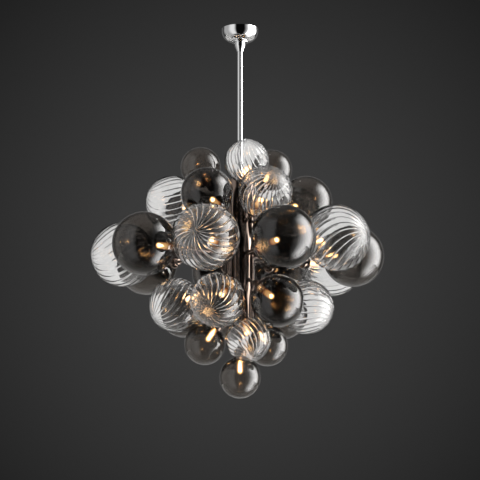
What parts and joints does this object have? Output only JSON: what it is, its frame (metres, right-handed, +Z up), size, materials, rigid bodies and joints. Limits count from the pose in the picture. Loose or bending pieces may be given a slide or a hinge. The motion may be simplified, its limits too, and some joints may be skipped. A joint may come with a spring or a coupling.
{
  "type": "bubble chandelier",
  "caption": "Ceiling chandelier: a cloud of smoke and clear swirl-ribbed glass globes on arms round a column, hung on a chrome stem from a round canopy.",
  "frame": {"origin": "centre of the ceiling plane, midway between the bracket's two slots, where the canopy's rim meets the ceiling", "axes": "+Z up along the stem, +X along the ceiling bracket, -Y towards the pictured front"},
  "size_m": [1.0055, 0.9948, 1.2918],
  "materials": {
    "chrome": "polished chrome plate",
    "black_nickel": "polished black nickel plate",
    "plated_steel": "zinc plated steel",
    "green_screw": "green dyed steel",
    "smoke_glass": "blown smoke grey glass, smooth",
    "ribbed_glass": "clear mould-blown glass with swirled ribs",
    "bulb_glass": "clear capsule, warm white when lit",
    "porcelain": "glazed porcelain",
    "gasket_rubber": "translucent silicone rubber"
  },
  "bodies": {
    "lamp": {"arm_lock_rings": "black_nickel", "bottom_arms": "black_nickel", "bottom_cups": "black_nickel", "bottom_ribbed_globe_1": "ribbed_glass", "bottom_smoke_globe_2": "smoke_glass", "bottom_smoke_globe_3": "smoke_glass", "bracket_nipple": "plated_steel", "bulbs": "bulb_glass", "ceiling_bracket": "plated_steel", "column": "black_nickel", "column_bottom_cap": "black_nickel", "column_top_cap": "black_nickel", "ground_screw": "green_screw", "lampholders": "porcelain", "lower_arms": "black_nickel", "lower_cups": "black_nickel", "lower_ribbed_globe_2": "ribbed_glass", "lower_ribbed_globe_6": "ribbed_glass", "lower_ribbed_globe_7": "ribbed_glass", "lower_smoke_globe_1": "smoke_glass", "lower_smoke_globe_3": "smoke_glass", "lower_smoke_globe_4": "smoke_glass", "lower_smoke_globe_5": "smoke_glass", "middle_arms": "black_nickel", "middle_cups": "black_nickel", "middle_ribbed_globe_10": "ribbed_glass", "middle_ribbed_globe_2": "ribbed_glass", "middle_ribbed_globe_4": "ribbed_glass", "middle_ribbed_globe_8": "ribbed_glass", "middle_smoke_globe_1": "smoke_glass", "middle_smoke_globe_3": "smoke_glass", "middle_smoke_globe_5": "smoke_glass", "middle_smoke_globe_6": "smoke_glass", "middle_smoke_globe_7": "smoke_glass", "middle_smoke_globe_9": "smoke_glass", "neck_gaskets": "gasket_rubber", "nipple_nuts": "plated_steel", "stem": "chrome", "stem_top_plug": "plated_steel", "tip_arm": "black_nickel", "tip_cup": "black_nickel", "tip_smoke_globe": "smoke_glass", "top_arms": "black_nickel", "top_cups": "black_nickel", "top_ribbed_globe_1": "ribbed_glass", "top_smoke_globe_2": "smoke_glass", "top_smoke_globe_3": "smoke_glass", "upper_arms": "black_nickel", "upper_cups": "black_nickel", "upper_ribbed_globe_1": "ribbed_glass", "upper_ribbed_globe_3": "ribbed_glass", "upper_ribbed_globe_6": "ribbed_glass", "upper_smoke_globe_2": "smoke_glass", "upper_smoke_globe_4": "smoke_glass", "upper_smoke_globe_5": "smoke_glass", "upper_smoke_globe_7": "smoke_glass"},
    "canopy": {"canopy": "chrome"},
    "collar": {"canopy_disc": "chrome", "stem_collar": "chrome", "collar_set_screw": "plated_steel"}
  },
  "joints": [
    {"name": "collar_slide", "type": "slide", "parent": "lamp", "child": "collar", "axis": [0, 0, -1], "range_m": [0, 0.15]},
    {"name": "canopy_slide", "type": "slide", "parent": "lamp", "child": "canopy", "axis": [0, 0, -1], "range_m": [0, 0.15]}
  ],
  "couplings": [
    {"joint": "canopy_slide", "follows": "collar_slide", "ratio": 1}
  ]
}
